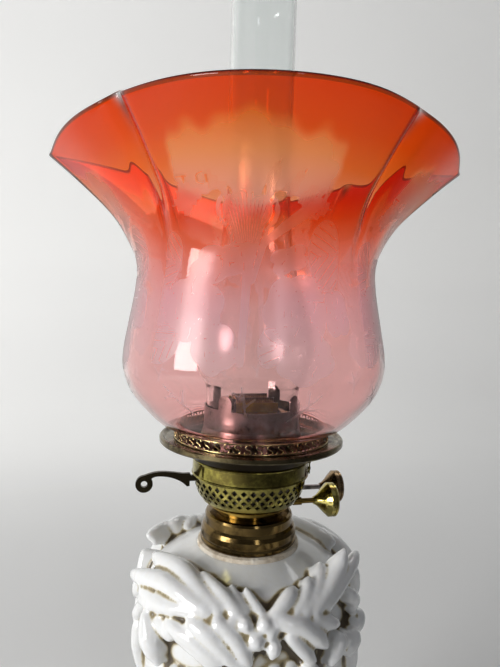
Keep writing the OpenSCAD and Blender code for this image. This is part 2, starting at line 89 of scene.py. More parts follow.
def lathe(outline, steps):
    """A closed outline of (radius, height) turned round Z, anticlockwise with radius to the right."""
    n = len(outline)
    angles = np.linspace(0, 2 * math.pi, steps, endpoint=False)
    verts = [(r * math.sin(a), -r * math.cos(a), z) for a in angles for r, z in outline]
    faces = []
    for k in range(steps):
        here, there = k * n, ((k + 1) % steps) * n
        for i in range(n):
            j = (i + 1) % n
            faces.append((here + i, there + i, there + j, here + j))
    return verts, faces


def tube(path, radii, sides=10):
    """A tube with round caps along a path, with one radius per point."""
    path = np.asarray(path, float)
    radii = np.broadcast_to(np.asarray(radii, float), len(path))
    along = np.gradient(path, axis=0)
    along /= np.linalg.norm(along, axis=1)[:, None]
    side = np.cross(along[0], (0.31, 0.22, 0.93))
    rings = []
    for k, (p, t, r) in enumerate(zip(path, along, radii)):
        side = side - t * (side @ t)
        side /= np.linalg.norm(side)
        up = np.cross(t, side)
        if k == 0:
            rings += [(p - t * r * 0.95, r * 0.3, side, up), (p - t * r * 0.65, r * 0.76, side, up)]
        rings.append((p, r, side, up))
        if k == len(path) - 1:
            rings += [(p + t * r * 0.65, r * 0.76, side, up), (p + t * r * 0.95, r * 0.3, side, up)]
    verts = []
    for centre, r, side, up in rings:
        for a in np.arange(sides) * 2 * math.pi / sides:
            verts.append(centre + r * (math.cos(a) * side + math.sin(a) * up))
    faces = []
    for k in range(len(rings) - 1):
        here, there = k * sides, (k + 1) * sides
        for i in range(sides):
            j = (i + 1) % sides
            faces.append((here + i, here + j, there + j, there + i))
    faces.append(tuple(range(sides - 1, -1, -1)))
    faces.append(tuple(range((len(rings) - 1) * sides, len(rings) * sides)))
    return verts, faces


def joined(parts):
    """Several (vertices, faces) as one."""
    verts, faces = [], []
    for v, f in parts:
        start = len(verts)
        verts.extend(v)
        faces.extend([tuple(start + i for i in face) for face in f])
    return verts, faces


def baked_mesh(obj):
    """The object's mesh with its modifiers applied."""
    graph = bpy.context.evaluated_depsgraph_get()
    mesh = bpy.data.meshes.new_from_object(obj.evaluated_get(graph))
    obj.modifiers.clear()
    obj.data = mesh
    mesh.shade_smooth()
    return mesh


def cavity(mesh, rounds):
    """How deep each vertex lies in a crevice, in millimetres: positive in hollows, negative on ridges."""
    n = len(mesh.vertices)
    co = np.zeros(n * 3, np.float32)
    mesh.vertices.foreach_get("co", co)
    co = co.reshape(-1, 3).astype(float)
    normal = np.zeros(n * 3, np.float32)
    mesh.vertices.foreach_get("normal", normal)
    edges = np.zeros(len(mesh.edges) * 2, np.int32)
    mesh.edges.foreach_get("vertices", edges)
    a, b = edges.reshape(-1, 2).T
    count = np.maximum(np.bincount(a, minlength=n) + np.bincount(b, minlength=n), 1)
    soft = co.copy()
    for _ in range(rounds):
        total = np.stack([np.bincount(a, soft[b, axis], n) + np.bincount(b, soft[a, axis], n)
                          for axis in range(3)], 1)
        soft = total / count[:, None]
    return ((soft - co) * normal.reshape(-1, 3)).sum(1) / MM


# ---------- materials ----------

# The colour sockets of Blender's mix node
MIX_A = 6
MIX_B = 7
MIX_RESULT = 2


class Look:
    """A Principled material, built from procedural nodes."""

    def __init__(self, name):
        self.material = bpy.data.materials.new(name)
        self.material.use_nodes = True
        self.tree = self.material.node_tree
        self.tree.nodes.clear()
        self.shader = self.tree.nodes.new("ShaderNodeBsdfPrincipled")
        output = self.tree.nodes.new("ShaderNodeOutputMaterial")
        self.tree.links.new(self.shader.outputs[0], output.inputs["Surface"])
        self.place = self.tree.nodes.new("ShaderNodeTexCoord").outputs["Object"]

    def put(self, socket, value):
        """Links an output to the socket, or sets the socket's own value."""
        if isinstance(value, bpy.types.NodeSocket):
            self.tree.links.new(value, socket)
        elif isinstance(value, (tuple, list)) and len(value) == 3 and socket.type == "RGBA":
            socket.default_value = (*value, 1)
        else:
            socket.default_value = value

    def set(self, **values):
        """The shader's inputs by name, with _ for a space."""
        for name, value in values.items():
            self.put(self.shader.inputs[name.replace("_", " ")], value)
        return self

    def math(self, operation, *values, clamp=False):
        node = self.tree.nodes.new("ShaderNodeMath")
        node.operation = operation
        node.use_clamp = clamp
        for socket, value in zip(node.inputs, values):
            self.put(socket, value)
        return node.outputs[0]

    def band(self, value, low, high):
        """0 below low, 1 above high, smooth between."""
        node = self.tree.nodes.new("ShaderNodeMapRange")
        node.interpolation_type = "SMOOTHSTEP"
        self.put(node.inputs["Value"], value)
        self.put(node.inputs["From Min"], low)
        self.put(node.inputs["From Max"], high)
        return node.outputs[0]

    def span(self, value, low, high):
        """0 to 1 turned into low to high."""
        node = self.tree.nodes.new("ShaderNodeMapRange")
        self.put(node.inputs["Value"], value)
        self.put(node.inputs["To Min"], low)
        self.put(node.inputs["To Max"], high)
        return node.outputs[0]

    def noise(self, scale, detail=3.0, roughness=0.55, stretch=None):
        """Noise with about that many lumps to a metre."""
        node = self.tree.nodes.new("ShaderNodeTexNoise")
        where = self.place
        if stretch:
            shift = self.tree.nodes.new("ShaderNodeMapping")
            self.put(shift.inputs["Vector"], where)
            shift.inputs["Scale"].default_value = stretch
            where = shift.outputs[0]
        self.put(node.inputs["Vector"], where)
        node.inputs["Scale"].default_value = scale
        node.inputs["Detail"].default_value = detail
        node.inputs["Roughness"].default_value = roughness
        return node.outputs["Fac"]

    def mix(self, share, a, b):
        """Colour a where share is 0, b where it is 1."""
        node = self.tree.nodes.new("ShaderNodeMix")
        node.data_type = "RGBA"
        self.put(node.inputs["Factor"], share)
        self.put(node.inputs[MIX_A], a)
        self.put(node.inputs[MIX_B], b)
        return node.outputs[MIX_RESULT]

    def ramp(self, value, stops):
        """A colour ramp of (position, colour) stops."""
        node = self.tree.nodes.new("ShaderNodeValToRGB")
        elements = node.color_ramp.elements
        while len(elements) < len(stops):
            elements.new(0.5)
        for element, (at, colour) in zip(elements, stops):
            element.position = at
            element.color = (*colour, 1)
        self.put(node.inputs["Fac"], value)
        return node.outputs["Color"]

    def attribute(self, name):
        """The mesh's own values of that name."""
        node = self.tree.nodes.new("ShaderNodeAttribute")
        node.attribute_name = name
        return node.outputs["Fac"]

    def axes(self):
        """X, Y and Z of the surface, in the object's own metres."""
        node = self.tree.nodes.new("ShaderNodeSeparateXYZ")
        self.put(node.inputs[0], self.place)
        return node.outputs[0], node.outputs[1], node.outputs[2]

    def bump(self, value, distance, strength=1.0):
        node = self.tree.nodes.new("ShaderNodeBump")
        node.inputs["Strength"].default_value = strength
        node.inputs["Distance"].default_value = distance
        self.put(node.inputs["Height"], value)
        self.put(self.shader.inputs["Normal"], node.outputs[0])
        return self


def dress(obj, look, body=None):
    """Gives a piece its material and its body."""
    obj.data.materials.clear()
    obj.data.materials.append(look.material)
    if body:
        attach(obj, body)


# Depth of the metals' fine dents, in metres
DENT = 0.00006


def metal(name, worn, tarnished, cover, roughness, scale=60.0, painted_shade_under=None):
    """Old metal: cover is the share under tarnish, roughness that of its worn and its tarnished parts.

    Below the last argument's height, in millimetres, it keeps its tarnished colour all over: painted shade
    under the part.
    """
    look = Look(name)
    patches = look.noise(scale, 4.0, 0.6)
    fine = look.noise(scale * 9, 3.0, 0.6)
    mottle = look.math("ADD", look.math("MULTIPLY", patches, 0.75), look.math("MULTIPLY", fine, 0.25))
    shift = (0.5 - cover) * 0.4
    share = look.band(mottle, 0.35 + shift, 0.62 + shift)
    # Painted shade: no worn metal shows below the given height
    if painted_shade_under:
        height = look.axes()[2]
        above = look.band(height, (painted_shade_under - 2) * MM, (painted_shade_under + 2) * MM)
        share = look.math("MULTIPLY", share, above)
    look.set(Base_Color=look.mix(share, tarnished, worn), Metallic=1.0)
    look.set(Roughness=look.span(share, roughness[1], roughness[0]))
    look.bump(fine, DENT, 0.6)
    return look


bright_brass = metal("bright_brass", (0.46, 0.40, 0.11), (0.045, 0.036, 0.014), 0.62, (0.08, 0.24))
band_brass = metal("band_brass", (0.50, 0.44, 0.10), (0.13, 0.105, 0.03), 0.35, (0.05, 0.13))
gold_brass = metal("gold_brass", (0.34, 0.22, 0.05), (0.04, 0.024, 0.009), 0.66, (0.12, 0.28))
knob_brass = metal("knob_brass", (0.52, 0.44, 0.14), (0.07, 0.05, 0.02), 0.6, (0.12, 0.34), 90.0)
knob_brown = metal("knob_brown", (0.34, 0.23, 0.12), (0.07, 0.045, 0.025), 0.55, (0.16, 0.34), 90.0)
dark_bronze = metal("dark_bronze", (0.17, 0.112, 0.04), (0.022, 0.015, 0.008), 0.72, (0.14, 0.34), 45.0)
lever_bronze = metal("lever_bronze", (0.07, 0.055, 0.03), (0.02, 0.016, 0.011), 0.6, (0.22, 0.36), 45.0)
# The gallery's underside, below the lip, is kept dark as painted shade
lip_bronze = metal("lip_bronze", (0.18, 0.145, 0.075), (0.028, 0.021, 0.013), 0.6, (0.16, 0.34), 70.0,
                   painted_shade_under=DECK + 67)
burner_brown = metal("burner_brown", (0.36, 0.32, 0.31), (0.06, 0.052, 0.048), 0.6, (0.28, 0.5), 80.0)
# Brass brightened past its own colour: painted light for the flaps, which sit dim inside the shade
lit_flap_gold = metal("lit_flap_gold", (1.0, 0.80, 0.18), (0.66, 0.45, 0.07), 0.3, (0.34, 0.5), 120.0)

cement_look = Look("cement_look")
grain = cement_look.noise(420.0, 5.0, 0.7)
lumps = cement_look.noise(110.0, 3.0, 0.6)
cement_look.set(
    Base_Color=cement_look.ramp(lumps, [
        (0.3, (0.46, 0.36, 0.25)), (0.5, (0.78, 0.69, 0.56)), (0.7, (0.86, 0.80, 0.70))]),
    Roughness=cement_look.span(grain, 0.75, 0.95))
cement_look.bump(cement_look.math("ADD", lumps, cement_look.math("MULTIPLY", grain, 0.5)), 0.0012)

# CAD nodes that keep their own shape: look and record slot
METAL_NODES = {
    "mount_collar": (dark_bronze, "bronze"),
    "burner_neck": (gold_brass, "brass"),
    "bayonet_pins": (burner_brown, "burner_steel"),
    "air_basket": (bright_brass, "brass"),
    "polished_band": (band_brass, "polished_brass"),
    "tube_plate": (burner_brown, "burner_steel"),
    "wick_tube_front": (burner_brown, "burner_steel"),
    "wick_tube_rear": (burner_brown, "burner_steel"),
    "spindle_bracket": (burner_brown, "burner_steel"),
    "spindle_bushes": (gold_brass, "brass"),
    "lever_bracket": (burner_brown, "burner_steel"),
    "lever_pin": (gold_brass, "brass"),
    "latch_tab": (band_brass, "polished_brass"),
    "latch_rivets": (dark_bronze, "brass"),
    "shade_ring": (lip_bronze, "bronze"),
    "gallery_cone": (burner_brown, "burner_steel"),
    "chimney_cup": (burner_brown, "burner_steel"),
    "flame_dome": (gold_brass, "brass"),
    "front_spindle": (gold_brass, "burner_steel"),
    "rear_spindle": (burner_brown, "burner_steel"),
    "front_spur_wheels": (burner_brown, "burner_steel"),
    "rear_spur_wheels": (burner_brown, "burner_steel"),
    "front_knob": (knob_brass, "brass"),
    "rear_knob": (knob_brown, "brass"),
    "snuffer_lever": (lever_bronze, "bronze"),
    "snuffer_sleeves": (burner_brown, "burner_steel"),
    "lift_rod": (burner_brown, "burner_steel"),
    "front_flap": (lit_flap_gold, "brass"),
    "rear_flap": (lit_flap_gold, "brass"),
}
for node_name, (look, slot_name) in METAL_NODES.items():
    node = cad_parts[node_name]
    dress(node, look)
    node.data.shade_smooth()
    node.data.set_sharp_from_angle(angle=math.radians(32))
dress(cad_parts["cement_ring"], cement_look)

# ---------- ceramic base ----------

BASE_OUTLINE = [
    (FOOT_R - 2, 0), (FOOT_R, 5), (FOOT_R - 3, 13), (FOOT_R * 0.8, 22), (FOOT_R * 0.63, 35),
    (FOOT_R * 0.545, 52), (FOOT_R * 0.57, 70), (BODY_R * 0.78, 92), (BODY_R * 0.9, 125),
    (BODY_R * 0.98, 170), (BODY_R, BASE_H * 0.79), (BODY_R * 0.985, BASE_H * 0.875),
    (BODY_R * 0.925, BASE_H * 0.935), (BODY_R * 0.78, BASE_H * 0.97), (BODY_R * 0.6, BASE_H * 0.99),
    (35.4, BASE_H)]
FOOT_HOLLOW = [
    (FOOT_R - 13, 0), (FOOT_R - 15, 10), (FOOT_R * 0.63 - 4, 24), (FOOT_R * 0.545 - WALL, 46),
    (FOOT_R * 0.545 - WALL - 2, 62), (0.01, 72)]
RESERVOIR = [
    (26, BASE_H - 6), (38, BASE_H - 9.5), (BODY_R * 0.74, BASE_H * 0.935),
    (BODY_R - WALL - 4, BASE_H * 0.87),
    (BODY_R - WALL, BASE_H * 0.78), (BODY_R * 0.98 - WALL, 170), (BODY_R * 0.9 - WALL, 125),
    (BODY_R * 0.76 - WALL, 97), (25, 84), (0.01, 82)]

# Leaf fingers as points of (azimuth, radius, height over the base's top, thickness), root first
SHOULDER_LEAVES = [
    [(7, 64, -12, 3.2), (0, 56, -4, 2.4)],
    [(0, 65, -12, 2.6), (-9, 55, -3, 2.2)],
    [(-4, 66, -13, 4.5), (-14, 60, -6, 4.6), (-30, 52, -1.5, 3.2)],
    [(-14, 66, -12, 5), (-44, 56, -3, 7), (-76, 62, -6, 5)],
    [(-19, 68, -13, 5), (-48, 66, -8, 6), (-75, 76, -16, 5)],
    [(-22, 69, -14, 4), (-62, 74, -19, 4.2)],
    [(-32, 71, -15, 3.5), (-62, 75, -24, 3.3)],
    [(14, 68, -14, 4.5), (21, 64, -9, 5), (27, 60, -4.5, 4)],
    [(24, 69, -14, 3.8), (32, 65, -8, 4), (39, 59, -2.5, 3.8)],
    [(29, 70, -14, 4), (42, 64, -6, 4), (55, 56, 0, 4)],
    [(34, 70, -14, 4.5), (56, 66, -3, 6), (63, 68, 8, 4.2)],
    [(42, 70, -14, 4.5), (60, 70, -6, 4.5), (77, 73, 1, 4)]]
FLANK_LEAVES = [
    [(-51, 75, -29, 6), (-47, 75, -38, 8.6), (-42, 76, -48, 5)],
    [(-37, 73, -25, 4), (-23, 75, -27, 5), (-10, 76, -35, 4)],
    [(-34, 73, -28, 3.5), (-20, 75, -33, 4), (-10, 75, -43, 3)],
    [(-24, 72, -20, 5), (-14, 74, -24, 5.5), (-2, 75, -38, 4)],
    [(-12, 71, -17, 4.5), (-4, 73, -24, 5), (2, 75, -35, 4.2)],
    [(0, 71, -16, 4), (1, 72, -18, 4)],
    [(5, 73, -24, 5), (6, 73, -27, 4.6)],
    [(9, 71, -16, 4.5), (10, 72, -19, 4)],
    [(13, 74, -28, 4.5), (12, 74, -32, 4)],
    [(14, 70, -15, 3.5), (11, 74, -22, 3.2)],
    [(17, 71, -16, 4.5), (27, 73, -20, 5.5), (38, 75, -33, 5)],
    [(33, 72, -18, 4), (46, 74, -25, 5)],
    [(21, 73, -24, 4.5), (31, 75, -39, 4.5)],
    [(48, 75, -37, 6), (42, 76, -46, 4)],
    [(60, 76, -42, 6.6), (56, 76, -48, 5)],
    [(72, 76, -37, 5.6), (70, 76, -44, 4.6)],
    [(62, 73, -17, 5), (70, 74, -26, 5)],
    [(-62, 72, -26, 4), (-70, 75, -40, 4.2)],
    [(-78, 72, -22, 4.6), (-84, 74, -36, 4.6)],
    [(84, 72, -16, 4.6), (88, 74, -32, 4.6)]]
HANGING_LEAVES = [
    [(-2, 72, -50, 5), (-1, 73, -78, 5.4), (0, 70, -108, 3)],
    [(14, 72, -46, 5), (20, 73, -70, 5), (25, 69, -96, 3)],
    [(30, 72, -44, 5), (40, 73, -62, 4.6), (47, 70, -84, 3)],
    [(-18, 72, -52, 5), (-22, 73, -74, 5), (-26, 69, -96, 3)],
    [(-34, 72, -54, 5), (-42, 73, -68, 4.6), (-48, 70, -84, 3)],
    [(66, 72, -50, 6), (68, 73, -64, 5), (69, 70, -82, 3.4)],
    [(-68, 72, -46, 6), (-70, 73, -60, 5), (-71, 70, -78, 3.4)],
    [(88, 72, -40, 5), (90, 73, -66, 5), (91, 69, -104, 3)]]
FOOT_LEAVES = [
    [(a, 47, 52 - BASE_H, 4.5), (a + 2, 58, 33 - BASE_H, 5), (a + 3, FOOT_R - 9, 14 - BASE_H, 4)]
    for a in (-18, 2, 22, 45, 68)]


# Share of two fingers' length that a web joins, and how far apart they may be, in degrees and in height
WEB_REACH = 0.62
WEB_GAP = (22, 20)
# Grain of the relief's remesh, in metres
RELIEF_VOXEL = 0.00135


def relief_point(azimuth, radius, height):
    a = math.radians(azimuth + RELIEF_TURN)
    return np.array([radius * math.sin(a), -radius * math.cos(a), BASE_H + height])


def relief_height(height, turn):
    """The rear half's leaves stay low on the shoulder."""
    return min(height, REAR_TOP) if turn == 180 else height


def part_way(curve, share):
    """The point of a curve at that share of its steps."""
    place = share * (len(curve) - 1)
    k = min(int(place), len(curve) - 2)
    return curve[k] + (place - k) * (curve[k + 1] - curve[k])


def webs(leaves, turn, lean):
    """The leaf's body: a broad low ridge between each finger and the next, over their first part."""
    parts = []
    for first, second in zip(leaves, leaves[1:]):
        a, b = through(first, 6), through(second, 6)
        path, radii = [], []
        for t in np.linspace(0, WEB_REACH, 9):
            p, q = part_way(a, t), part_way(b, t)
            if abs(p[0] - q[0]) > WEB_GAP[0] or abs(p[2] - q[2]) > WEB_GAP[1]:
                break
            azimuth, radius, height, thick = (p + q) / 2
            spot = relief_point(azimuth + turn, radius - 0.4 * thick * math.cos(lean),
                                relief_height(height, turn) - 0.5 * thick * math.sin(lean))
            path.append(spot)
            radii.append(thick * (0.92 - 0.45 * t))
        if len(path) > 2:
            parts.append(tube(path, radii, 12))
    return parts


def leaf_finger(points, turn, lean):
    """A tapered finger with its keel, which ties it to the wall below or behind it."""
    curve = through(points, 5)
    parts = []
    for depth in (0.0, 0.75, 1.6):
        path, radii = [], []
        for azimuth, radius, height, thick in curve:
            inward = depth * thick * math.cos(lean)
            down = depth * thick * math.sin(lean)
            path.append(relief_point(azimuth + turn, radius - inward, relief_height(height, turn) - down))
            radii.append(thick * (1 - 0.05 * depth))
        radii[-1] *= 0.7
        radii[-2] *= 0.88
        parts.append(tube(path, radii, 12))
    return parts


def build_ceramic():
    """The vessel with its leaves in one skin, hollowed, with its crevices measured for the glaze."""
    outer = [tuple(p) for p in through(BASE_OUTLINE, 6)]
    hollow = [tuple(p) for p in through(FOOT_HOLLOW, 5)]
    outline = outer + [(0.01, BASE_H)] + hollow[::-1]
    parts = [lathe(outline, 120)]
    for half in (0, 180):
        for leaves, lean in ((SHOULDER_LEAVES, 0.75), (FLANK_LEAVES, 0.0), (HANGING_LEAVES, 0.0)):
            parts += webs(leaves, half, lean)
            for points in leaves:
                parts += leaf_finger(points, half, lean)
        for quarter in (0, 90):
            for points in FOOT_LEAVES:
                parts += leaf_finger(points, half + quarter, 1.1)
    obj = add_mesh("ceramic_base", *joined(parts))
    remesh = obj.modifiers.new("remesh", "REMESH")
    remesh.mode = "VOXEL"
    remesh.voxel_size = RELIEF_VOXEL
    soften = obj.modifiers.new("soften", "SMOOTH")
    soften.factor = 0.5
    soften.iterations = 5
    baked_mesh(obj)
    inside = [(0.01, BASE_H + 1), (26, BASE_H + 1)]
    reservoir = [tuple(p) for p in through(RESERVOIR, 3)]
    cutter = add_mesh("cutter", *lathe((inside + reservoir)[::-1], 48))
    cut = obj.modifiers.new("cut", "BOOLEAN")
    cut.operation = "DIFFERENCE"
    cut.solver = "MANIFOLD"
    cut.object = cutter
    mesh = baked_mesh(obj)
    bpy.data.objects.remove(cutter)
    set_values(mesh, "crevice", np.clip(cavity(mesh, 40), -4, 4))
    set_values(mesh, "fine_crevice", np.clip(cavity(mesh, 8), -2, 2))
    return obj


glaze = Look("glaze")
deep = glaze.attribute("crevice")
near = glaze.attribute("fine_crevice")
blotch = glaze.noise(38.0, 4.0, 0.6)
speck = glaze.noise(260.0, 3.0, 0.6)
# Brown soil and pooled glaze in the crevices, darkening to near black in the deepest ones as painted shade
shallow_soil_and_shade = glaze.math("MULTIPLY", glaze.band(near, 0.08, 0.6), 0.6)
soil_and_shade = glaze.math("MULTIPLY_ADD", glaze.band(deep, 0.6, 2.8), 0.8, shallow_soil_and_shade)
soil_and_shade = glaze.math("MULTIPLY", soil_and_shade, glaze.span(blotch, 0.3, 1.8), clamp=True)
soil_and_shade_colour = glaze.ramp(glaze.math("ADD", soil_and_shade, glaze.math("MULTIPLY", speck, 0.15)), [
    (0.0, (0.88, 0.90, 0.93)), (0.26, (0.78, 0.76, 0.68)), (0.58, (0.38, 0.31, 0.17)),
    (1.0, (0.09, 0.065, 0.035))])
glaze.set(Base_Color=soil_and_shade_colour, Roughness=glaze.span(soil_and_shade, 0.13, 0.5), IOR=1.52, Coat_Weight=0.35,
          Coat_Roughness=0.06)
glaze.bump(glaze.noise(150.0, 2.0, 0.5), 0.00025, 0.5)

ceramic = build_ceramic()
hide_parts("ceramic_body")
dress(ceramic, glaze, "base")

# ---------- shade ----------

FITTER_R = 49.8
LOBE_R = 138.0
SHADE_H = 182.0
LOBES = 4
SHADE_TURN = -9.0
SHADE_WALL = 2.6
SHADE_FOOT = DECK + 70.3
WAIST_Z = 0.6 * SHADE_H
MERIDIAN = [
    (FITTER_R, 0), (FITTER_R, 6.2), (52.5, 8), (61, 10.3), (72, 20.5), (81, 32), (85.8, 45), (86, 58),
    (82.8, 77), (79.2, 98), (79.4, WAIST_Z + 4), (84.5, 0.695 * SHADE_H), (LOBE_R - 42, 0.795 * SHADE_H),
    (LOBE_R - 21, 0.905 * SHADE_H), (LOBE_R, SHADE_H)]

# The etched pattern is drawn in millimetres: x round the belly from the flower, v up along the glass
BELLY_R = 84.0
FLOWER_TURN = 7.6
FLOWER_V = 128.0
FAN_FOOT = 40.0
SPIKE_FOOT = 38.0
SPIKE_TIP = 52.0
HATCH_TOP = 53.0


def rim_fold(azimuth):
    """The rim's fold at an azimuth, as (radius, height): a broad sweep and a tight pinch at each crimp."""
    pitch = 360 / LOBES
    from_crimp = np.abs(np.mod(azimuth, pitch) - pitch / 2)
    sharpness = 0.7 + 0.3 * np.cos(np.radians(2 * azimuth))
    sweep = ((1 + np.cos(np.radians(LOBES * from_crimp))) / 2) ** sharpness
    pinch = np.exp(-(from_crimp / 3.6) ** 2) * (0.65 + 0.35 * np.cos(np.radians(azimuth)))
    return -21 * sweep - 6 * pinch, 7 * sweep + 5 * pinch


def capsule(x, v, ends, radii):
    """How far inside a tapered bar each point is: positive inside."""
    (ax, av), (bx, bv) = ends
    dx, dv = bx - ax, bv - av
    t = np.clip(((x - ax) * dx + (v - av) * dv) / (dx * dx + dv * dv), 0, 1)
    away = np.hypot(x - ax - t * dx, v - av - t * dv)
    return radii[0] + (radii[1] - radii[0]) * t - away


def oval(x, v, centre, half, turn=0.0):
    """About how far inside a turned oval each point is: positive inside."""
    c, s = math.cos(math.radians(turn)), math.sin(math.radians(turn))
    dx, dv = x - centre[0], v - centre[1]
    p, q = (dx * c + dv * s) / half[0], (-dx * s + dv * c) / half[1]
    return (1 - np.hypot(p, q)) * min(half)


# Satin roses and leaves of one lobe: centre, half sizes, turn and the number of petals, 0 for a plain leaf
ROSES = [
    ((-31, 103), (19, 18), -10, 6), ((-17, 127), (17, 9.5), 12, 5), ((-16, 82), (12, 14), 10, 5),
    ((-48, 82), (13, 10), 35, 0), ((-50, 128), (8.5, 17), -18, 0), ((-56, 104), (9, 12), 0, 4),
    ((29, 103), (19, 19), -20, 6), ((24, 130), (11, 7), 18, 4), ((46, 133), (11, 20), 12, 0),
    ((34, 76), (16, 12), 15, 5), ((54, 102), (9, 13), 10, 4), ((14, 84), (7, 12), -10, 0),
    ((-25, 172), (13, 4.6), -14, 0)]
# Twigs near the foot of the glass, as bars from end to end
SPRIGS = [
    ((26, 40), (44, 58)), ((32, 46), (30, 56)), ((37, 51), (36, 60)), ((35, 49), (42, 48)),
    ((-30, 44), (-46, 60)), ((-35, 49), (-33, 58)), ((-40, 54), (-47, 52)),
    ((2, 44), (0, 62)), ((1, 50), (7, 56)), ((1, 54), (-6, 60))]
# Clear, hatched spikes between the fan and the flower: direction from the flower and half width, in degrees
SPIKES = [(-38, 5), (-20, 6), (-2, 3.5), (14, 3), (26, 3.5), (38, 5), (50, 4)]


def etching(azimuth, v):
    """The etched pattern: how far inside the satin each point is, and the phase of its engraved lines."""
    pitch = 360 / LOBES
    local = np.mod(azimuth, pitch)
    local = np.where(local > pitch / 2, local - pitch, local) + FLOWER_TURN
    x = BELLY_R * np.radians(local)
    wobble = 1.3 * np.sin(x * 0.21 + 1) + 0.8 * np.sin(x * 0.53) + 0.5 * np.sin(v * 0.5)
    fan = np.minimum(0.06 * (oval(x, v, (0, 177), (40, 28)) + 2 * wobble), v - 158 - 0.22 * np.abs(x))
    round_flower = np.degrees(np.arctan2(x, v - FLOWER_V))
    from_flower = np.hypot(x, v - FLOWER_V)
    for middle, half in SPIKES:
        tip = SPIKE_TIP + 4 * math.sin(middle)
        spike = half * (1 - (from_flower - SPIKE_FOOT) / (tip - SPIKE_FOOT)) - np.abs(round_flower - middle)
        fan = np.where(from_flower > SPIKE_FOOT, np.minimum(fan, -0.4 * spike), fan)
    fan = np.minimum(fan, from_flower - FAN_FOOT)
    trumpet = oval(x, v, (0, 155), (12.5, 10.5))
    trumpet = np.maximum(trumpet, capsule(x, v, ((0, 150), (0.5, 126)), (9.6, 2.8)))
    halo = np.minimum(trumpet + 3.0, -trumpet - 0.9) * np.where(v > 136, 1.0, 0.6)
    stem = capsule(x, v, ((0.5, 128), (-1.5, 74)), (2.8, 2.0))
    blade = capsule(x, v, ((9, 138), (34, 160)), (2.0, 4.2))
    blade = np.maximum(blade, capsule(x, v, ((3.5, 118), (9, 138)), (1.4, 2.0)))
    satin = np.maximum.reduce([fan, trumpet, halo, stem, blade])
    lines = np.full_like(x, 0.5)
    for centre, half, turn, petals in ROSES:
        c, s = math.cos(math.radians(turn)), math.sin(math.radians(turn))
        dx, dv = x - centre[0], v - centre[1]
        p, q = dx * c + dv * s, -dx * s + dv * c
        round_it = np.arctan2(q / half[1], p / half[0])
        shape = oval(x, v, centre, half, turn)
        if petals:
            shape = shape + 2.4 * np.abs(np.sin(petals * round_it / 2)) - 1.2
            size = np.hypot(p / half[0], q / half[1])
            heart = 0.5 + 0.09 * np.sin((petals - 1) * round_it + turn)
            seam = np.mod(petals * round_it / (2 * math.pi) + 0.4 * size + 0.5, 1) - 0.5
            drawn = (np.abs(seam) * size < 0.02) & (size > heart + 0.04)
            drawn = drawn | (np.abs(size - heart) < 0.02) | (np.abs(size - 0.45 * heart) < 0.018)
            phase = np.where(drawn, 0.0, 0.5)
        else:
            midrib = np.abs(q + 0.012 * p * p - 0.4) < 0.3
            phase = np.where(midrib, 0.0, (p + 1.4 * np.abs(q)) / 7.5 + 0.5)
        apart = np.abs(shape - satin) < 0.35
        lines = np.where((shape > satin) & (shape > 0.5), phase, lines)
        lines = np.where(apart & (shape > 0.2) & (satin > 0.2), 0.0, lines)
        satin = np.maximum(satin, shape)
    veins = np.degrees(np.arctan2(x, v - 118)) / 2.6
    lines = np.where((trumpet > 1.2) & (v > 139), veins, lines)
    hatch = (from_flower > FAN_FOOT) & (from_flower < HATCH_TOP) & (np.abs(round_flower) < 56)
    hatch = hatch & (fan < 0.2) & (blade < -0.5)
    satin = np.where(hatch, 0.9, satin)
    lines = np.where(hatch, x / 0.8 + 0.5 * v, lines)
    for a, b in SPRIGS:
        satin = np.maximum(satin, capsule(x, v, (a, b), (1.0, 0.8)))
    return np.clip(satin, -5, 5), lines


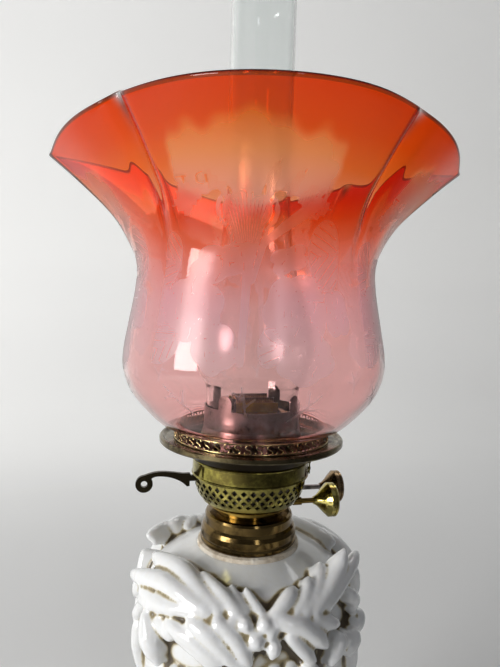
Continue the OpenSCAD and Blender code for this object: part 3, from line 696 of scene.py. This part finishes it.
def build_shade():
    """The blown shade as an outer and an inner skin with a round rim, foot at the fitter."""
    meridian = through(MERIDIAN, 8)
    around = 640
    per_lobe = around // LOBES
    t = np.arange(per_lobe) / per_lobe
    lobe = np.concatenate([k + t + 0.75 * np.sin(2 * math.pi * t) / (2 * math.pi) for k in range(LOBES)])
    azimuth = lobe * 360 / LOBES
    fold_r, fold_z = rim_fold(azimuth)
    run = np.gradient(meridian, axis=0)
    run /= np.linalg.norm(run, axis=1)[:, None]
    length = np.concatenate([[0], np.cumsum(np.linalg.norm(np.diff(meridian, axis=0), axis=1))])
    rise = np.maximum(0, (meridian[:, 1] - WAIST_Z + 14) / (SHADE_H - WAIST_Z + 14)) ** 1.5

    def row(k, inward, back=0.0):
        r = meridian[k, 0] + rise[k] * fold_r - inward * run[k, 1] - back * run[k, 0]
        z = meridian[k, 1] + rise[k] * fold_z + inward * run[k, 0] - back * run[k, 1]
        a = np.radians(azimuth)
        turn = math.radians(SHADE_TURN)
        x, y = r * np.sin(a), -r * np.cos(a)
        return np.stack([x * math.cos(turn) - y * math.sin(turn), x * math.sin(turn) + y * math.cos(turn),
                         z + SHADE_FOOT], 1)

    last = len(meridian) - 1
    half = SHADE_WALL / 2
    rows = [(k, 0.0, 0.0, 1.0) for k in range(last)]
    rows += [(last, half - half * math.cos(a), half - half * math.sin(a), 1.0 if a < 1.2 else 0.0)
             for a in np.linspace(0, math.pi, 7)]
    rows += [(k, SHADE_WALL, 0.0, 0.0) for k in range(last - 1, -1, -1)]
    verts = np.concatenate([row(k, inward, back) for k, inward, back, _ in rows])
    satin, lines, along, outer, crimp, ear = [], [], [], [], [], []
    pitch = 360 / LOBES
    from_crimp = np.abs(np.mod(azimuth, pitch) - pitch / 2)
    for k, _, _, skin in rows:
        share = length[k] / length[-1]
        # Mask of a dark streak down each crimp's fold near the rim: painted shade
        crimp.append(0.8 * np.exp(-(from_crimp / 1.3) ** 2) * np.clip((share - 0.9) / 0.06, 0, 1))
        # Mask of the folded ear at each crimp's top: clear glass, greyed as a painted reflection
        ear.append(np.exp(-(from_crimp / 1.5) ** 2) * np.clip((share - 0.975) / 0.01, 0, 1))
        s, l = etching(azimuth, np.full(around, length[k]))
        satin.append(s)
        lines.append(l)
        along.append(np.full(around, share))
        outer.append(np.full(around, skin))
    n = len(rows)
    faces = []
    for i in range(n):
        here, there = i * around, ((i + 1) % n) * around
        for j in range(around):
            k = (j + 1) % around
            faces.append((here + j, here + k, there + k, there + j))
    obj = add_mesh("shade_glass", verts, faces)
    for name, values in (("satin", satin), ("lines", lines), ("along", along), ("outer", outer),
                         ("crimp", crimp), ("ear", ear)):
        set_values(obj.data, name, np.concatenate(values))
    return obj


cranberry = Look("cranberry")
along = cranberry.attribute("along")
drift = cranberry.noise(9.0, 2.0, 0.5)
where = cranberry.math("ADD", along, cranberry.span(drift, -0.03, 0.03))
clear = cranberry.ramp(where, [
    (0.0, (0.95, 0.66, 0.64)), (0.30, (0.98, 0.72, 0.71)), (0.47, (0.99, 0.65, 0.63)),
    (0.62, (0.97, 0.44, 0.36)), (0.72, (0.94, 0.28, 0.12)), (0.81, (0.92, 0.15, 0.015)),
    (0.90, (0.88, 0.08, 0.002)), (1.0, (0.87, 0.055, 0.001))])
frosted = cranberry.ramp(where, [
    (0.30, (0.99, 0.76, 0.78)), (0.5, (1.0, 0.67, 0.70)), (0.66, (0.99, 0.49, 0.43)),
    (0.75, (1.0, 0.38, 0.24)), (0.84, (1.0, 0.31, 0.10)), (0.92, (0.98, 0.17, 0.015)),
    (1.0, (0.87, 0.07, 0.002))])
engraved = cranberry.math("PINGPONG", cranberry.attribute("lines"), 0.5)
etch = cranberry.math("MULTIPLY", cranberry.band(cranberry.attribute("satin"), -0.2, 0.3),
                      cranberry.band(engraved, 0.03, 0.09))
misty = cranberry.math("MULTIPLY", etch, cranberry.attribute("outer"))
stain = cranberry.mix(etch, clear, frosted)
# A dark line along the rim: painted shade for the dark edge the glass shows there
painted_rim_shade = cranberry.math("MULTIPLY", cranberry.band(along, 0.992, 0.998), 0.85)
stain = cranberry.mix(painted_rim_shade, stain, (0.09, 0.04, 0.025))
# Darker down each crimp's fold: painted shade
stain = cranberry.mix(cranberry.attribute("crimp"), stain, (0.16, 0.09, 0.08))
# The ears at the crimps' tops: clear glass tinted grey as a painted reflection
stain = cranberry.mix(cranberry.attribute("ear"), stain, (0.62, 0.64, 0.64))
cranberry.set(Base_Color=stain, Roughness=cranberry.span(misty, 0.02, 0.30), IOR=1.34,
              Transmission_Weight=1.0)

shade = build_shade()
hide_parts("shade")
dress(shade, cranberry, "tulip_shade")

# ---------- chimney ----------

CHIMNEY_R = 21.5
CHIMNEY_H = 302.0
CHIMNEY_WALL = 1.6
CHIMNEY_FOOT = DECK + 79.2
CHIMNEY_OUTLINE = [
    (31.2, 0), (31.2, 22), (34, 29), (38.3, 38), (40.3, 50), (39.4, 62), (36, 75), (31, 90), (26.6, 106),
    (23.4, 127), (CHIMNEY_R, 153), (CHIMNEY_R, 200), (CHIMNEY_R, CHIMNEY_H)]


def build_chimney():
    outer = through(CHIMNEY_OUTLINE, 6)
    inner = outer - (CHIMNEY_WALL, 0)
    rim = [(CHIMNEY_R - CHIMNEY_WALL / 2 + 0.6 * math.cos(a), CHIMNEY_H - 0.8 + 0.8 * math.sin(a))
           for a in (0.6, 1.2, 1.9, 2.5)]
    outline = [tuple(p) for p in outer[:-1]] + [(CHIMNEY_R, CHIMNEY_H - 0.8)] + rim
    outline += [(CHIMNEY_R - CHIMNEY_WALL, CHIMNEY_H - 0.8)] + [tuple(p) for p in inner[-2::-1]]
    verts, faces = lathe([(r, z + CHIMNEY_FOOT) for r, z in outline], 144)
    return add_mesh("chimney_glass", verts, faces)


flint = Look("flint")
faint_green = flint.ramp(flint.noise(14.0, 2.0), [(0.3, (0.955, 0.985, 0.975)), (0.7, (0.97, 0.99, 0.985))])
flint.set(Base_Color=faint_green, Roughness=flint.span(flint.noise(30.0, 3.0), 0.0, 0.03), IOR=1.5,
          Transmission_Weight=1.0)
chimney = build_chimney()
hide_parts("chimney")
dress(chimney, flint, "glass_chimney")

# ---------- coronet ----------

CORONET_R = 51.2
CORONET_Z = DECK + 70.0
SCROLLS = 50


def build_coronet():
    """Two rails round the shade's foot, with S scrolls between them."""
    parts = []
    for height, thick in ((0.65, 0.6), (6.6, 0.45)):
        ring = [(CORONET_R + 0.6 + thick * math.cos(a), CORONET_Z + height + thick * math.sin(a))
                for a in np.arange(8) * math.pi / 4]
        parts.append(lathe(ring, 144))
    scroll = through([(2.2, 5.3), (1.2, 6.3), (-0.6, 6.2), (-1.6, 5.0), (-0.9, 3.9), (0.9, 3.1), (1.7, 2.0),
                      (0.7, 0.9), (-1.1, 0.9), (-2.2, 1.9)], 3)
    for k in range(SCROLLS):
        middle = math.radians(k * 360 / SCROLLS)
        curl = [((CORONET_R + 0.5) * math.sin(middle + across / CORONET_R),
                 -(CORONET_R + 0.5) * math.cos(middle + across / CORONET_R), CORONET_Z + height)
                for across, height in scroll]
        parts.append(tube(curl, 0.45, 6))
    return add_mesh("coronet_scrolls", *joined(parts))


coronet = build_coronet()
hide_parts("shade_coronet")
pierced = metal("pierced", (0.62, 0.50, 0.25), (0.06, 0.042, 0.026), 0.6, (0.12, 0.3), 140.0)
dress(coronet, pierced, "gallery")

# ---------- wicks ----------

WICK_W = 25.4
WICK_T = 2.2
WICK_FOOT = DECK - 160.0
WICK_TOP = DECK + 97.4


def build_wick(name, middle_y):
    """A woven wick: flat, with ribs along its length and a slightly uneven top."""
    columns = 119
    x = np.linspace(-WICK_W / 2, WICK_W / 2, columns)
    rib = 0.5 + 0.5 * np.cos(2 * math.pi * x / (WICK_W / 17))
    half = WICK_T / 2 - 0.24 * (1 - rib)
    half = np.minimum(half, 0.35 + np.sqrt(np.maximum(0, (WICK_W / 2) ** 2 - x ** 2)) * 0.6)
    section = [(a, b) for a, b in zip(x, -half)] + [(a, b) for a, b in zip(x[::-1], half[::-1])]
    heights = np.concatenate([np.linspace(WICK_FOOT, WICK_TOP - 4, 24),
                              np.linspace(WICK_TOP - 3.4, WICK_TOP, 7)])
    n = len(section)
    verts, faces = [], []
    for k, z in enumerate(heights):
        crown = 0.82 if k == len(heights) - 1 else 1.0
        for a, b in section:
            dip = 0.3 * (1 - math.cos(2 * math.pi * a / (WICK_W / 17))) / 2 if z > WICK_TOP - 1.2 else 0.0
            verts.append((a, middle_y + b * crown, z - dip))
    for k in range(len(heights) - 1):
        for i in range(n):
            j = (i + 1) % n
            faces.append((k * n + i, k * n + j, (k + 1) * n + j, (k + 1) * n + i))
    for k, turned in ((0, True), (len(heights) - 1, False)):
        for i in range(columns - 1):
            quad = (k * n + i, k * n + i + 1, k * n + n - 2 - i, k * n + n - 1 - i)
            faces.append(quad[::-1] if turned else quad)
    return add_mesh(name, verts, faces, smooth=False)


woven = Look("woven")
weave = woven.noise(900.0, 2.0, 0.5, (1.0, 1.0, 0.45))
scorch = woven.band(woven.math("ADD", woven.axes()[2], woven.span(woven.noise(300.0), -0.0008, 0.0008)),
                    (WICK_TOP - 3.2) * MM, (WICK_TOP - 0.2) * MM)
cotton = woven.ramp(weave, [(0.3, (0.42, 0.22, 0.08)), (0.7, (0.70, 0.45, 0.20))])
woven.set(Base_Color=woven.mix(scorch, cotton, (0.10, 0.05, 0.02)), Roughness=woven.span(weave, 0.8, 0.95))
woven.bump(weave, 0.0004)
for side, sign in (("front", -1), ("rear", 1)):
    strip = build_wick(side + "_wick_strip_weave", sign * 8.5)
    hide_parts(side + "_wick")
    dress(strip, woven, side + "_wick_strip")

# ---------- floor, light and camera ----------


def build_stage():
    """A round pale floor that sweeps up into a high wall, so that no horizon shows."""
    line = [(1, 0), (900, 0), (1700, 0), (2050, 40), (2330, 190), (2480, 470), (2530, 900), (2540, 2500)]
    outline = [tuple(p) for p in through(line, 6)]
    outline += [(r + 20, z - 20) for r, z in outline[::-1]]
    return add_mesh("studio_floor", *lathe(outline, 96))


# Pale behind the lamp and lit from within, so it stays even; grey far off at the front right, for the metals
paper = Look("paper")
across, depth, up = paper.axes()
glow = paper.math("MULTIPLY_ADD", depth, 0.04, 0.21)
glow = paper.math("MULTIPLY_ADD", up, 0.06, glow)
glow = paper.math("MULTIPLY_ADD", across, -0.11, glow)
glow = paper.math("MULTIPLY", glow, paper.band(depth, 0.2, 1.4))
pale = paper.ramp(paper.noise(1.3, 2.0), [(0.3, (0.80, 0.80, 0.79)), (0.7, (0.83, 0.83, 0.82))])
toward_back = paper.math("MULTIPLY_ADD", across, -0.6, paper.math("MULTIPLY", depth, 0.8))
cover = paper.mix(paper.band(toward_back, -0.9, -0.2), (0.17, 0.17, 0.18), pale)
paper.set(Base_Color=cover, Roughness=0.9, Specular_IOR_Level=0.2, Emission_Color=(1.0, 0.99, 0.97),
          Emission_Strength=glow)
floor = build_stage()
floor.location.z = -0.0004
floor.data.materials.append(paper.material)

AIM = Vector((0, 0, 0.42))


def area_light(name, place, width, height, power, colour):
    """A soft light that faces the lamp."""
    light = bpy.data.lights.new(name, "AREA")
    light.shape = "RECTANGLE"
    light.size = width
    light.size_y = height
    light.energy = power
    light.color = colour
    obj = bpy.data.objects.new(name, light)
    obj.location = place
    obj.rotation_mode = "QUATERNION"
    obj.rotation_quaternion = (AIM - Vector(place)).to_track_quat("-Z", "Y")
    bpy.context.scene.collection.objects.link(obj)


area_light("window", (-1.5, -0.6, 0.6), 0.6, 0.7, 21, (1.0, 0.99, 0.98))
area_light("strip", (0.25, -1.6, 0.8), 0.16, 0.8, 1.6, (0.97, 0.98, 1.0))
area_light("back", (0.6, 0.9, 2.1), 0.9, 0.7, 6, (1.0, 1.0, 1.0))

world = bpy.data.worlds.new("studio")
bpy.context.scene.world = world
world.use_nodes = True
sky = world.node_tree.nodes["Background"]
sky.inputs["Color"].default_value = (0.93, 0.96, 1.0, 1)
sky.inputs["Strength"].default_value = 0.2
bpy.context.scene.view_settings.view_transform = "Standard"

# The photograph's viewpoint, estimated from the ellipses of the gallery's lip, the band and the collar
EYE = Vector((-0.0799, -0.3459, 0.4275))
YAW = math.radians(-12.55)
TILT = math.radians(87.44)
ROLL = math.radians(1.75)
lens_data = bpy.data.cameras.new("view")
lens_data.lens = 28.34
lens_data.sensor_width = 36
lens_data.clip_start = 0.02
camera = bpy.data.objects.new("view", lens_data)
camera.matrix_world = (Matrix.Translation(EYE) @ Matrix.Rotation(YAW, 4, "Z")
                       @ Matrix.Rotation(TILT, 4, "X") @ Matrix.Rotation(ROLL, 4, "Z"))
bpy.context.scene.collection.objects.link(camera)
bpy.context.scene.camera = camera
